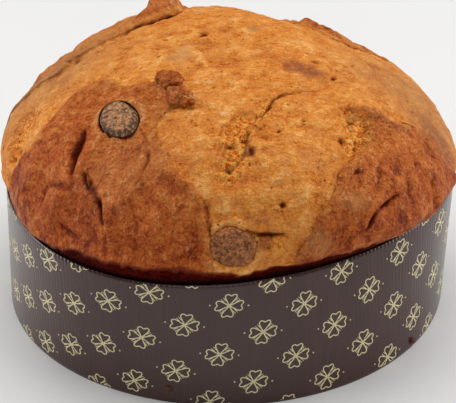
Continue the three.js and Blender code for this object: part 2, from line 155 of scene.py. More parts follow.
# Lines sunk into the crust, thinning out towards their ends: width and depth, how dark the painted shade
# in the line is, and the places that it runs through
CREASES = [
    (2.1, 3.6, 1.0, [(-53, 83), (-51, 89), (-49.5, 95), (-47.5, 100), (-45, 107)]),
    (1.5, 1.4, 0.8, [(-43, 102), (-41, 106), (-37, 110)]),
    (1.6, 2.8, 1.0, [(-40, 104), (-36.5, 110), (-34, 115), (-31, 122)]),
    (1.5, 1.3, 0.4, [(-53, 115), (-48, 112), (-43, 110)]),
    (1.3, 1.2, 0.3, [(-52, 114), (-53, 119), (-51, 124)]),
    (1.6, 1.3, 0.35, [(-45, 128), (-40, 131), (-36, 134)]),
    (0.9, 1.2, 0.5, [(-26, 84), (-25, 89), (-25, 96)]),
    (0.9, 1.0, 0.3, [(-34, 72), (-27, 82), (-23, 92)]),
    (1.0, 1.5, 0.55, [(-8, 99), (-6, 105), (-5, 112), (-4, 120), (-3, 126)]),
    (1.4, 2.4, 1.0, [(4.5, 119), (8, 121), (11, 121.5), (16, 123)]),
    (1.2, 1.8, 1.0, [(48, 115), (44.5, 117), (42, 118.5), (38, 121), (36, 124.5), (33, 126.5), (29, 129.5)]),
    (1.4, 0.9, 0.25, [(53, 98), (50, 105), (44, 114)]),
    (1.3, 0.8, 0.25, [(47, 99), (44, 104), (41, 110)]),
    (1.3, 0.8, 0.2, [(40.5, 100), (38, 104), (36, 109)]),
    (1.4, 0.9, 0.25, [(58, 100), (57, 108), (54, 117)]),
    (1.3, 1.3, 0.85, [(12, 64), (14, 61), (19, 58), (23, 54), (25, 51), (31, 49), (41, 48), (51, 53)]),
    (1.3, 1.2, 0.7, [(12, 64), (9, 70), (7, 80), (2, 90)]),
    (1.1, 1.0, 0.35, [(58, 75), (52, 71), (48, 66)]),
    (1.2, 1.0, 0.3, [(66, 104), (66, 109), (65, 114)]),
    (1.2, 1.0, 0.3, [(60, 118), (58, 126), (57, 134)]),
    (1.2, 1.0, 0.3, [(52, 108), (50, 118), (49, 128)]),
    (1.2, 1.0, 0.3, [(-62, 114), (-61, 124), (-60, 132)]),
    (1.1, 0.8, 0.2, [(-26, 110), (-23, 118), (-22, 127)]),
    (1.2, 1.3, 0.9, [(64, 91.5), (66.5, 93.5), (68, 97)]),
    (1.6, 1.6, 1.0, [(-126, 63), (-136, 59), (-147, 56), (-157, 58), (-164, 62)]),
]

# Seams where the dough tore open, wide and rough: half width, depth and the places along the line
TEARS = [
    (8.0, 1.4, [(8, 62), (6, 74), (3, 84), (0, 94)]),
    (7.0, 1.6, [(53, 72), (48, 81), (41, 90)]),
    (9.0, 2.0, [(-83, 102), (-76, 109), (-71, 117)]),
    (3.5, 0.5, [(7, 123.5), (10, 126), (14, 128)]),
    (3.5, 0.6, [(25, 50), (20, 57), (14, 62)]),
]

# Ridges that stand proud of the skin, as the creases but without a dark line: width, height, places
RIDGES = [
    (4.5, 2.2, [(-52, 38), (-44, 40), (-37, 42), (-30, 47), (-23, 51)]),
    (2.6, 1.3, [(-24, 86), (-15, 95), (-9, 101), (-6, 107)]),
    (3.0, 1.0, [(-34, 112), (-30, 121), (-27, 129)]),
    (2.4, 0.6, [(-59, 86), (-57, 98), (-53, 107)]),
    (2.2, 1.2, [(59, 78), (61, 88), (67, 95), (69, 103)]),
    (2.4, 0.8, [(-14, 104), (-13, 115), (-15, 127)]),
    (3.0, 1.0, [(31, 117), (40, 113), (48, 109)]),
    (5.0, 1.2, [(-40, 84), (-33, 98), (-24, 112), (-18, 124)]),
    (5.0, 1.0, [(-48, 117), (-44, 124), (-41, 128)]),
    (4.0, 0.9, [(-62, 96), (-60, 110), (-57, 122)]),
]

# Reach at which the burnt lip above the case begins, by bearing
LIP_EDGE = [
    (-180, 139), (-110, 139), (-80, 143), (-62, 144), (-50, 143), (-42, 139), (-37, 138), (-26, 139),
    (-12, 138), (-8, 138), (-4, 139), (5, 140), (15, 139), (26, 138), (32, 137), (42, 137), (50, 139),
    (60, 141), (75, 139), (110, 138), (180, 138),
]

# Small holes, painted dark as shade: bearing, reach, radius, depth
PITS = [
    (7, 73, 1.5, 2.2), (2, 77, 1.5, 2.0), (9, 80, 1.8, 1.8), (1, 89, 1.6, 2.2), (24, 53, 1.2, 1.5),
    (22, 71, 0.9, 1.0), (16, 74, 0.8, 0.9), (30, 62, 0.9, 0.9), (33, 68, 1.2, 0.8), (50, 77, 1.9, 2.4),
    (47, 80, 1.1, 1.8), (40, 85, 1.6, 2.2), (43, 89, 1.3, 2.0), (67, 54, 1.2, 1.4), (79, 43, 1.3, 1.2),
    (61, 88, 1.9, 1.6), (38, 101, 1.4, 1.6), (65, 112, 1.1, 1.2), (-106, 77, 1.6, 1.8), (-106, 82, 1.3, 1.4),
    (-98, 70, 1.1, 1.0), (-117, 62, 1.4, 1.2), (-147, 16, 1.7, 1.8), (-111, 30, 1.2, 1.0),
    (-79, 32, 0.9, 0.8), (-80, 110, 1.5, 2.2), (-76, 110, 1.4, 2.0), (-72, 107, 1.6, 2.4),
    (-71, 113, 2.0, 2.8), (-86, 117, 1.0, 1.2), (-78, 105, 1.3, 2.0), (-75, 115, 1.4, 2.0),
    (15, 108, 1.7, 1.6), (28, 79, 0.8, 0.8), (36, 74, 0.8, 0.8), (-12, 66, 0.8, 0.8), (88, 62, 1.0, 1.0),
]

# Patches of colour in the crust: bearing, reach, length, width, turn and strength
PALE_PATCHES = [
    (-73, 20, 10, 5, 80, 0.9), (23, 128, 8, 7, 0, 0.5), (34, 113, 7, 4, 20, 0.45), (29, 94, 5, 4, 0, 0.35),
    (-30, 92, 24, 18, 20, 0.2),
]
# Small grey marks, and two broad patches on the flanks at bearings -98 and 87 that are painted sheen
GREY_AND_SHEEN_PATCHES = [
    (145, 27, 4, 3, 0, 0.9), (9, 80, 3, 3, 0, 0.6), (-68, 27, 3.5, 1.5, 0, 0.7), (27, 87, 3, 2.5, 0, 0.3),
    (-98, 96, 46, 30, 14, 0.6), (87, 100, 42, 27, -4, 0.65),
]
PURPLE_PATCHES = [
    (66, 40, 12, 6.5, -25, 1.0), (66, 56, 5, 3.5, -25, 0.5), (60, 84, 12, 4, -8, 1.0),
    (9, 125, 6, 4.5, 20, 0.9), (9, 115, 9, 4, 0, 0.5), (53, 74, 6, 4, 0, 0.6), (74, 113, 22, 12, -16, 1.0),
]

# Skin that stands up where a flap's edge curls back, along a line that runs clockwise from above. peak is
# how far along its highest place lies, and a greater slope makes it fall off sooner.
EARS = [
    {"line": [(-130, 62), (-164, 66)], "rise": 8.4, "curl": 60, "lobes": 1.6, "peak": 0.72, "slope": 1.1},
    {"line": [(146, 67), (121, 83)], "rise": 2.3, "curl": 75, "lobes": 0.8, "peak": 0.35, "slope": 0.7},
]
EAR_THICKNESS = 2.0
EAR_ROOT = 3.0
EAR_CELLS = (44, 16)

# Rolled knobs of crust at the front left flap's point: size is length, width and height
KNOBS = [
    {"bearing": -38, "reach": 41.5, "size": (14, 10, 7), "turn": 20, "seed": 11},
    {"bearing": -25, "reach": 50, "size": (15, 10, 7), "turn": -15, "seed": 12},
]
KNOB_LIFT = 1.2
KNOB_LUMPS = 0.3
KNOB_GRAIN = 0.09
KNOB_DARKNESS = 0.45
KNOB_PURPLE = 0.08

# Fruit baked into the crust: size is length, width and depth, turn its twist about the crust's normal, sunk
# how far its middle lies below the crust, clear the width of the gap round it, and the key before clear how
# dark the painted shade in that gap is. The colours are those of its middle, its edge and its dark specks.
FRUIT = {
    "fruit_upper_left": {
        "bearing": -44, "reach": 72, "size": (24.5, 17.5, 12), "turn": -28, "sunk": 3.0, "seed": 21,
        "gap_shade": 1.0, "clear": 0.4,
        "colours": [(0.42, 0.20, 0.085), (0.11, 0.065, 0.042), (0.12, 0.055, 0.028)],
    },
    "fruit_front": {
        "bearing": 1.6, "reach": 127.4, "size": (25.5, 21, 11), "turn": 0, "sunk": 3.2, "seed": 22,
        "gap_shade": 0.2, "clear": 0.12,
        "colours": [(0.39, 0.145, 0.048), (0.46, 0.150, 0.038), (0.17, 0.052, 0.016)],
    },
}
FRUIT_LUMPS = 0.05
FRUIT_DISH = 0.9
FRUIT_WRINKLE = 0.35
COLLAR_PLACE = 0.47
COLLAR_WIDTH = 1.6
COLLAR_HEIGHT = 0.8
LUMP_CUTS = 5

# Holes of the two parallel skewers on which the loaf hung to cool: SKEWERS has the bearing and height of
# each one's front hole, and CRUMB_SIZES the width of the crumb in it
SKEWER_RADIUS = 2.0
SKEWER_BEARING = 20.0
SKEWER_LENGTH = 24.0
SKEWER_SIDES = 22
SKEWER_RAGGED = 0.22
LOAF_HOLE_SHARE = 0.75
SKEWERS = [(-14.7, 8.0), (55.0, 3.2)]
CRUMB_SIZES = (2.6, 3.2)
CRUMB_RISE = 0.4
CRUMB_INSET = 0.3
CRUMB_CUTS = 4

# Heights between foot and rim at which the case's wall is drawn, outside and inside, and its thickness
OUTER_RINGS = [1.5, 4, 10, 20, 32, 44, 54, 59, 61.5, 63.5, 65.2]
INNER_RINGS = [64, 58, 30]
WALL_THICKNESS = 0.9 * PAPER

# Flutes of the case's paper, deepest at its rim
FLUTES = 288
FLUTE_STEPS = 6
FLUTE_DEPTH = 0.05
RIM_FLUTE_DEPTH = 0.35
RIM_FLUTE_HEIGHT = 2.5

# Clovers of the print: step vectors of their lattice on the unrolled paper, half a leaf's outline, a whisker
# beside it and the dots at both sides
LATTICE_START = (-94.1, 153.3)
LATTICE_ALONG = (15.89, -16.27)
LATTICE_ACROSS = (-4.86, -26.71)
LATTICE_BEND = (0.97, 4.42)
BEND_SPAN = 100.0
LATTICE_STEPS = range(-40, 60)
HALF_LEAF = [
    (0.2, 0), (1.5, 0.85), (3.1, 1.8), (4.7, 2.7), (5.9, 2.9), (6.7, 2.35), (6.75, 1.35), (6.1, 0.25),
]
WHISKER = [(2.9, 2.2), (3.8, 2.9), (4.7, 3.9)]
DOTS = [(-9.0, 0.2), (9.0, -0.2)]
DOT_RADIUS = 0.42
DOT_SIDES = 10
LINE_WIDTH = 0.56
WHISKER_WIDTH = 0.34
CLOVER_SCALE = (0.93, 0.88)
CLOVER_SKEW = [[1, -0.06], [0.2, 1]]
INK = 0.06
INK_ROOT = 0.05
BARE_PLACE = (57.6, 49.0)
BARE_RADIUS = 6.0
FOOT_MARGIN, RIM_MARGIN, DOT_MARGIN = 0.6, 0.4, 1.0
CLOVER_REACH = 8.0

# Colours of the crust, from its dark tones to its pale ones, and the tints that are laid over them
DOUGH_COLOURS = [
    (0.38, 0.07, 0.005), (0.60, 0.155, 0.014), (0.76, 0.25, 0.032), (0.86, 0.35, 0.066), (0.95, 0.53, 0.19),
]
SKIN_COLOURS = [
    (0.21, 0.023, 0.002), (0.44, 0.07, 0.005), (0.62, 0.143, 0.017), (0.75, 0.225, 0.04), (0.90, 0.44, 0.17),
]
CRUST_TONES = (0.0, 0.25, 0.5, 0.75, 1.0)
CRUMB_COLOURS = [(0.20, 0.027, 0.003), (0.70, 0.147, 0.009), (1.0, 0.305, 0.024), (1.0, 0.59, 0.14)]
CRUMB_TONES = (0.35, 0.42, 0.49, 0.60)
BLUSH, VEIN = (0.66, 0.25, 0.08), (0.55, 0.155, 0.056)
LIGHT_THREAD, DARK_THREAD = (0.86, 0.44, 0.20), (0.27, 0.034, 0.003)
# The last of these is partly the crust's grey marks and partly painted sheen on the loaf's flanks
STAIN, PALE, GREY_AND_SHEEN = (0.30, 0.075, 0.026), (0.74, 0.40, 0.14), (0.34, 0.18, 0.08)
# The second of these is painted shade for creases, pits, crumb holes and the gap round the fruit, and it
# also colours the knobs' dark spots
PORE, CREVICE_SHADE_AND_SPOTS, SCORCH = (0.30, 0.06, 0.007), (0.08, 0.009, 0.0015), (0.20, 0.026, 0.004)
# The last of these is the painted shadow in the gap between the loaf and the case, along the rim
CHAR_DARK, CHAR_RED, RIM_GAP_SHADOW = (0.035, 0.0014, 0.0004), (0.105, 0.0035, 0.0007), (0.012, 0.0008, 0.0004)

# Softboxes: place, target, width and height in metres, and power in watts
SOFTBOXES = {
    "top_softbox": ((0.05, 0.25, 1.5), (0, 0, 0.08), (1.3, 1.1), 16),
    "left_softbox": ((-1.1, 0.25, 0.45), (0, 0, 0.06), (0.8, 0.9), 8),
    "right_softbox": ((1.1, 0.20, 0.45), (0, 0, 0.06), (0.8, 0.9), 8),
    "front_softbox": ((0.0, -1.2, 0.8), (0, 0, 0.08), (1.3, 0.8), 3.5),
}
WORLD_LIGHT = 0.09
FLOOR_METRES = 6.0

# Camera: where the middle of the rim's plane lies in the photograph's frame, and how it is seen
FRAME_PIXELS = (456, 403)
RIM_MIDDLE_PIXEL = (224.9263, 165.7939)
FOCAL_PIXELS = 2206.06
ELEVATION = 0.521
ROLL = -0.0123
DISTANCE = 1100.0
SENSOR_MM = 36.0


def smooth(low, high, value):
    t = np.clip((value - low) / (high - low), 0, 1)
    return t * t * (3 - 2 * t)


def bell(value):
    return np.exp(-(value**2))


def stacked(*columns):
    return np.stack(np.broadcast_arrays(*columns), axis=-1)


def around(angle, radius, height):
    """Points round the upright middle line, at angles counted from the front towards +X."""
    return stacked(radius * np.sin(angle), -radius * np.cos(angle), height)


def cell_value(cell, seed):
    """Random number from -1 to 1 that belongs to each cell of a lattice."""
    words = cell.astype(np.uint32)
    h = np.uint32((seed * 40503) & 0xFFFFFFFF)
    for axis, prime in enumerate((73856093, 19349663, 83492791)):
        h = h ^ (words[:, axis] * np.uint32(prime))
    h = (h ^ (h >> np.uint32(15))) * np.uint32(739982445)
    h = (h ^ (h >> np.uint32(12))) * np.uint32(695872825)
    return (h ^ (h >> np.uint32(15))) / 2147483648.0 - 1.0


def noise(points, seed):
    """Smooth noise from -1 to 1 at points counted in cells."""
    points = np.asarray(points, float)
    cell = np.floor(points).astype(np.int64)
    blend = smooth(0, 1, points - cell)
    total = np.zeros(len(points))
    for corner in itertools.product((0, 1), repeat=3):
        weight = np.prod(np.where(corner, blend, 1 - blend), axis=1)
        total += weight * cell_value(cell + np.array(corner), seed)
    return total


def fractal(points, seed, octaves):
    return sum(noise(points * 2**k, seed + k) / 2**k for k in range(octaves))


def layers(points, parts, step=0):
    """Sum of layers of noise, with step added to the seed of each."""
    return sum(height * noise(points / size, seed + step) for size, height, seed in parts)


def nearest_spot(points, seed):
    """Distance to the nearest of random spots, one in each cell."""
    cell = np.floor(points).astype(np.int64)
    best = np.full(len(points), 9.0)
    for step in itertools.product((-1, 0, 1), repeat=3):
        there = cell + np.array(step)
        spot = there + 0.5 + 0.45 * stacked(*(cell_value(there, seed + axis) for axis in range(3)))
        best = np.minimum(best, np.linalg.norm(spot - points, axis=1))
    return best


def out_of_round(angle, oval):
    two = oval["twoCos"] * np.cos(2 * angle) + oval["twoSin"] * np.sin(2 * angle)
    three = oval["threeCos"] * np.cos(3 * angle) + oval["threeSin"] * np.sin(3 * angle)
    return oval["lean"] * np.sin(angle) + two + three


def case_radius(angle, height, inset):
    return CASE_RADIUS * (1 + (height / CASE_HEIGHT) * out_of_round(angle, CASE_OVAL)) - inset


def build_section():
    """Radius, height and reach of the loaf's section, from the top to the rim."""
    rise = np.radians(np.linspace(90, 0, DOME_SECTION))
    tuck = np.linspace(0, 1, TUCK_SECTION)[1:]
    dome_radius = DOME_RADIUS * np.maximum(np.cos(rise), 0) ** (2 / DOME_FULLNESS)
    tuck_radius = DOME_RADIUS - (DOME_RADIUS - LOAF_RADIUS) * tuck**2
    radius = np.concatenate([dome_radius, tuck_radius])
    tuck_height = DOME_FOOT - (DOME_FOOT - CASE_HEIGHT) * tuck
    height = np.concatenate([DOME_FOOT + DOME_RISE * np.sin(rise), tuck_height])
    steps = np.hypot(np.diff(radius), np.diff(height))
    return radius, height, np.concatenate([[0], np.cumsum(steps)])


SECTION = build_section()
RIM_REACH = SECTION[2][-1]


def dome_points(bearing, reach):
    """Points of the smooth dome, before any relief."""
    inside = np.clip(reach, 0, RIM_REACH)
    radius = np.interp(inside, SECTION[2], SECTION[0])
    height = np.interp(inside, SECTION[2], SECTION[1])
    angle = np.radians(bearing)
    blend = smooth(CASE_HEIGHT, DOME_FOOT + OVAL_BLEND, height)
    oval = out_of_round(angle, CASE_OVAL) * (1 - blend) + out_of_round(angle, DOME_OVAL) * blend
    return around(angle, radius * (1 + oval), height)


def dome_normals(bearing, reach):
    step = 0.5
    safe = np.maximum(reach, 4 * step)
    along = dome_points(bearing, safe + step) - dome_points(bearing, safe - step)
    turn = step / np.radians(safe)
    across = dome_points(bearing + turn, safe) - dome_points(bearing - turn, safe)
    normal = np.cross(along, across)
    return normal / np.linalg.norm(normal, axis=-1, keepdims=True)


def flat_map(bearing, reach):
    return around(np.radians(bearing), reach, 0.0)[..., :2]


def away_from(points, bearing, reach):
    return np.linalg.norm(points - dome_points(bearing, reach), axis=1)


def to_segment(points, start, end):
    """Distance from points to a straight line, and the share of it that lies before the nearest place."""
    line = end - start
    share = np.clip(((points - start) @ line) / (line @ line), 0, 1)
    return np.linalg.norm(points - (start + share[:, None] * line), axis=1), share


def curve_through(points, steps=4):
    """Smooth curve through points, with steps pieces between each two."""
    padded = np.concatenate([points[:1], points, points[-1:]])
    t = np.linspace(0, 1, steps + 1)[:-1, None]
    parts = []
    for p0, p1, p2, p3 in zip(padded, padded[1:], padded[2:], padded[3:]):
        parts.append(0.5 * (2 * p1 + (p2 - p0) * t + (2 * p0 - 5 * p1 + 4 * p2 - p3) * t**2
                            + (3 * p1 - p0 - 3 * p2 + p3) * t**3))
    return np.concatenate(parts + [points[-1:]])


def line_field(points, places):
    """Distance from points to a smooth line through places on the dome, and 1 amid it to 0 at its ends."""
    spots = dome_points(*curve_through(np.array(places, float)).T)
    best = np.full(len(points), 1e9)
    share = np.zeros(len(points))
    for index, ends in enumerate(zip(spots, spots[1:])):
        away, along = to_segment(points, *ends)
        nearer = away < best
        best = np.where(nearer, away, best)
        share = np.where(nearer, (index + along) / (len(spots) - 1), share)
    return best, np.sin(np.pi * np.clip(share, 0, 1)) ** LINE_TAPER


def outline_depth(spots, outline):
    """How far spots of the flat map lie inside a closed outline, negative outside it."""
    corners = flat_map(*np.array(outline, float).T)
    distance = np.full(len(spots), 1e9)
    inside = np.zeros(len(spots), bool)
    for a, b in zip(corners, np.roll(corners, -1, axis=0)):
        distance = np.minimum(distance, to_segment(spots, a, b)[0])
        spans = (a[1] > spots[:, 1]) != (b[1] > spots[:, 1])
        rise = b[1] - a[1] if b[1] != a[1] else 1.0
        crossing = a[0] + (spots[:, 1] - a[1]) / rise * (b[0] - a[0])
        inside ^= spans & (spots[:, 0] < crossing)
    return np.where(inside, distance, -distance)


def patch(bearing, reach, patches):
    """Soft elliptical patches on the flat map, joined by their strongest."""
    spots = flat_map(bearing, reach)
    total = np.zeros(len(spots))
    for *place, length, width, turn, strength in patches:
        x, y = (spots - flat_map(*place)).T
        c, s = math.cos(math.radians(turn)), math.sin(math.radians(turn))
        u, v = (x * c + y * s) / length, (y * c - x * s) / width
        total = np.maximum(total, strength * np.exp(-((u**2 + v**2) ** 1.5)))
    return total


def fold_noise(bearing, reach, fold, index):
    """Ridges that run down the dome: 1 on a ridge and -1 in a hollow."""
    bend = FOLD_BEND * noise(stacked(bearing / 20, reach / 24, 0.3), fold["seed"] + 40)
    lattice = stacked((bearing + bend) / fold["angle"], reach / fold["length"], index)
    return 1 - 2 * np.abs(noise(lattice, fold["seed"]))


def flap_forms(bearing, reach, points):
    """Depth inside the nearest flap's edge, how dark the skin is, and the relief of the skin."""
    spots = flat_map(bearing, reach)
    wobble = layers(points, FLAP_WOBBLE)
    fray = layers(points, FLAP_FRAY)
    soft = np.interp(bearing, SOFT_BEARINGS, SOFT_WIDTHS)
    low = 1 - FOLD_FADE * smooth(RIM_REACH - 18, RIM_REACH - 4, reach)
    thinning = 1 - SKIN_THINNING * smooth(THINNING_START, RIM_REACH - 6, reach)
    best = np.full(len(reach), -99.0)
    tan = np.zeros(len(reach))
    relief = np.zeros(len(reach))
    for index, flap in enumerate(FLAPS.values()):
        depth = outline_depth(spots, flap["outline"]) + wobble
        best = np.maximum(best, depth)
        darkness = np.interp(reach, TAN_REACHES, flap["tan"])
        tan = np.maximum(tan, darkness * smooth(-soft, soft + 1.5, depth + fray))
        folds = sum(fold["height"] * fold_noise(bearing, reach, fold, index) for fold in FOLDS)
        curl_place = np.maximum(noise(points / CURL_SIZE, 30 + index), 0) * 2
        curl = flap["curl"] * curl_place * bell((depth - CURL_INSET) / CURL_WIDTH)
        form = flap["skin"] * thinning + smooth(0, FOLD_START, depth) * low * folds + curl
        relief += smooth(*SKIN_EDGE, depth) * form
    return best, tan, relief


def waved(points):
    """Points pushed about a little, so that lines drawn near them waver."""
    return points + stacked(*(layers(points, LINE_WAVER, axis) for axis in range(3)))


def crust_forms(bearing, reach):
    """Height of the crust over the smooth dome, and the masks that its looks are painted from."""
    points = dome_points(bearing, reach)
    wavy = waved(points)
    flap_depth, tan, relief = flap_forms(bearing, reach, points)
    skin = smooth(-0.9, 1.3, flap_depth)
    for *place, width, height in SWELLS:
        relief += height * bell(away_from(points, *place) / width)
    relief += layers(points, LUMPS)
    for width, height, places in RIDGES:
        away, middle = line_field(wavy, places)
        relief += height * middle * bell(away / width)
    broad = relief.copy()

    grain = 0.3 * noise(stacked(bearing / 9, reach / 3.2, 0.7), 50) + 0.6 * fractal(points / 6, 52, 3)
    relief += (1 - skin) * grain
    relief += skin * 0.3 * fractal(points / 5, 54, 2) + 0.2 * fractal(points / 2.6, 56, 2)

    # Painted shade in the creases, pits and deeper crumb holes: how dark each point is painted
    crevice_shade_and_spots = np.zeros(len(reach))
    for width, depth, dark, places in CREASES:
        away, middle = line_field(wavy, places)
        away = away / (width * (0.4 + 0.6 * middle))
        relief -= depth * middle * bell(away)
        crevice_shade_and_spots = np.maximum(crevice_shade_and_spots, dark * middle**0.5 * bell(away * 1.05))

    crumb = np.zeros(len(reach))
    ragged = 1 + 0.5 * noise(points / 4.5, 62)
    for width, depth, places in TEARS:
        away, middle = line_field(wavy, places)
        tear = bell((away / (width * (0.55 + 0.45 * middle) * ragged)) ** 2)
        crumb = np.maximum(crumb, tear)
        relief -= depth * tear
    torn = crumb > 0.02
    holes = np.zeros(len(reach))
    for size, depth, radius, seed in CRUMB_HOLES:
        holes[torn] += depth * smooth(radius, 0.1, nearest_spot(wavy[torn] / size, seed))
    holes[torn] += 0.8 * np.abs(noise(points[torn] / 1.9, 75))
    relief -= crumb * holes
    # The deeper crumb holes are painted dark as shade
    crevice_shade_and_spots = np.maximum(crevice_shade_and_spots, 0.6 * crumb * smooth(1.0, 2.4, holes))
    uneven = 1 + 0.5 * noise(points / 1.6, 76)
    for *place, radius, depth in PITS:
        pit = bell(away_from(wavy, *place) / radius * uneven)
        relief -= depth * pit
        crevice_shade_and_spots = np.maximum(crevice_shade_and_spots, 0.85 * pit)

    lip_edge = np.interp(bearing, *np.transpose(LIP_EDGE)) + layers(points, LIP_WOBBLE)
    burnt = smooth(-2.8, 1.6, reach - lip_edge)
    relief += burnt * (0.5 * fractal(points / 4, 84, 2) - 0.3)
    for fruit in FRUIT.values():
        collar = away_from(points, fruit["bearing"], fruit["reach"]) - fruit["size"][0] * COLLAR_PLACE
        relief += COLLAR_HEIGHT * bell(collar / COLLAR_WIDTH)
    fade = 1 - smooth(RIM_REACH - LIP_FADE, RIM_REACH, reach)
    relief *= fade
    purple = patch(bearing, reach, PURPLE_PATCHES)
    # fine is the small relief, which the material paints into the tone as shade in hollows and light on
    # rises
    return relief, {
        "skin": skin, "tan": tan, "crevice_shade_and_spots": crevice_shade_and_spots, "crumb": crumb, "burnt": burnt,
        "fine": (relief - broad * fade) * (1 - burnt),
        "pale": patch(bearing, reach, PALE_PATCHES), "grey_and_sheen": patch(bearing, reach, GREY_AND_SHEEN_PATCHES),
        "purple": purple * smooth(0.1, 0.6, purple + layers(points, STAIN_FRAY)), "down": reach / RIM_REACH,
    }


def crust_points(bearing, reach):
    """Points of the crust with all its relief, and its masks."""
    relief, masks = crust_forms(bearing, reach)
    return dome_points(bearing, reach) + dome_normals(bearing, reach) * relief[:, None], masks


def crust_point(bearing, reach):
    return crust_points(np.array([float(bearing)]), np.array([float(reach)]))[0][0]


def new_object(name, points, faces, shade_smooth=True):
    mesh = bpy.data.meshes.new(name)
    mesh.from_pydata((np.asarray(points) * MM).tolist(), [], faces)
    mesh.polygons.foreach_set("use_smooth", [shade_smooth] * len(mesh.polygons))
    mesh.update()
    obj = bpy.data.objects.new(name, mesh)
    bpy.context.scene.collection.objects.link(obj)
    return obj


def remove(obj):
    mesh = obj.data
    bpy.data.objects.remove(obj)
    bpy.data.meshes.remove(mesh)


def join_rings(lower, upper):
    count = len(lower)
    return [(lower[i], lower[(i + 1) % count], upper[(i + 1) % count], upper[i]) for i in range(count)]


def fan(middle, ring):
    """Triangles between a middle point and a ring that runs anticlockwise."""
    return [(middle, a, b) for a, b in zip(ring, ring[1:] + ring[:1])]


def dome_grid():
    """Square grid laid over the dome so that its cells stay even: the grid's edge is the rim."""
    line = np.linspace(-1, 1, DOME_CELLS + 1)
    a, b = [side.ravel() for side in np.meshgrid(line, line)]
    wide = np.abs(a) >= np.abs(b)
    share = np.where(wide, b / np.where(a == 0, 1, a), a / np.where(b == 0, 1, b))
    base = np.where(wide, np.where(a < 0, 270, 90), np.where(b < 0, 0, 180))
    bearing = base + np.where(wide, 45, -45) * share
    reach = np.maximum(np.abs(a), np.abs(b)) * RIM_REACH
    bearing = (bearing + 180) % 360 - 180
    count = DOME_CELLS + 1
    corner = (np.arange(DOME_CELLS)[:, None] * count + np.arange(DOME_CELLS)).ravel()
    faces = np.stack([corner, corner + 1, corner + count + 1, corner + count], axis=1)
    return bearing, reach, faces.tolist()


def grid_edge():
    """Vertex numbers round the grid's edge, in order of bearing from -45 degrees."""
    count = DOME_CELLS + 1
    steps = np.arange(DOME_CELLS)
    front, right = steps, steps * count + DOME_CELLS
    back, left = DOME_CELLS * count + DOME_CELLS - steps, (DOME_CELLS - steps) * count
    return np.concatenate([front, right, back, left])


def loaf_body():
    """The dome with its relief, and the plain sides and base that the case hides."""
    bearing, reach, faces = dome_grid()
    points, masks = crust_points(bearing, reach)
    edge = grid_edge()
    above = edge.tolist()
    angle = np.radians(-45 + 360 * np.arange(len(edge)) / len(edge))
    for height, inset in ((LOAF_BASE + BASE_ROUNDING, 0), (LOAF_BASE, BASE_ROUNDING)):
        ring = around(angle, case_radius(angle, height, PAPER + WALL_GAP + inset), height)
        numbers = list(range(len(points), len(points) + len(ring)))
        points = np.concatenate([points, ring])
        faces += join_rings(numbers, above)
        above = numbers
    points = np.concatenate([points, [[0, 0, LOAF_BASE]]])
    middle = len(points) - 1
    faces += fan(middle, above[::-1])
    dome = points[: len(bearing)]
    return new_object("bread_crust", points, faces), dome, masks


def ear_sheet(ear, index):
    """Thin bent sheet of skin that stands on the crust along a line, closed all round."""
    columns, rows = EAR_CELLS
    bend = math.radians(ear["curl"])
    full = ear["rise"] + EAR_ROOT
    start, end = np.array(ear["line"], float)

    def number(side, i, j):
        return (side * (columns + 1) + i) * (rows + 1) + j

    points = []
    for side, i in itertools.product((-0.5, 0.5), range(columns + 1)):
        along = i / columns
        bearing, reach = start + (end - start) * along
        up = dome_normals(bearing, reach)
        out = around(np.radians(bearing), 1, 0)
        middle = along ** (math.log(0.5) / math.log(ear["peak"]))
        arch = max(math.sin(math.pi * middle), 0) ** ear["slope"]
        height = (ear["rise"] + ear["lobes"] * noise([[along * 5, index, 0]], 7)[0]) * arch + EAR_ROOT
        root = crust_point(bearing, reach) - EAR_ROOT * up
        for j in range(rows + 1):
            high = (j / rows) * height
            turned = bend * (j / rows)
            away = side * EAR_THICKNESS * (1 - 0.6 * high / full) * (0.3 + 0.7 * arch)
            wave = 0.8 * noise([[along * 6, high / 6, index]], 8)[0]
            wave += 0.5 * noise([[along * 17, high / 3, index + 2]], 10)[0] * min(j / rows * 2, 1)
            climb = math.sin(turned) / bend * height - away * math.sin(turned)
            lean = (1 - math.cos(turned)) / bend * height + wave + away * math.cos(turned)
            points.append(root + up * climb + out * lean)
    faces = []
    for i, j, side in itertools.product(range(columns), range(rows), (0, 1)):
        quad = [number(side, m, n) for m, n in ((i, j), (i + 1, j), (i + 1, j + 1), (i, j + 1))]
        faces.append(quad[::-1] if side else quad)
    border = [(i, 0) for i in range(columns)] + [(columns, j) for j in range(rows)]
    border += [(i, rows) for i in range(columns, 0, -1)] + [(0, j) for j in range(rows, 0, -1)]
    for (i, j), (m, n) in zip(border, border[1:] + border[:1]):
        faces.append((number(0, m, n), number(0, i, j), number(1, i, j), number(1, m, n)))
    return new_object(f"ear_{index}", points, faces)


def crust_frame(place, lift):
    """Matrix of a piece bedded in the crust: z is the outward normal, x runs across and y up the slope."""
    normal = dome_normals(place["bearing"], place["reach"])
    angle = math.radians(place["bearing"])
    across = np.array([math.cos(angle), math.sin(angle), 0])
    across = across - normal * (across @ normal)
    across /= np.linalg.norm(across)
    slope = np.cross(normal, across)
    middle = crust_point(place["bearing"], place["reach"]) + normal * lift
    axes = np.stack([across, slope, normal], axis=1)
    c, s = math.cos(math.radians(place["turn"])), math.sin(math.radians(place["turn"]))
    return axes @ np.array([[c, -s, 0], [s, c, 0], [0, 0, 1]]), middle


def ball(subdivisions):
    """Points and triangles of a unit ball of even triangles."""
    bpy.ops.mesh.primitive_ico_sphere_add(subdivisions=subdivisions, radius=1)
    obj = bpy.context.object
    points = np.array([v.co for v in obj.data.vertices])
    faces = [tuple(p.vertices) for p in obj.data.polygons]
    remove(obj)
    return points / np.linalg.norm(points, axis=1, keepdims=True), faces


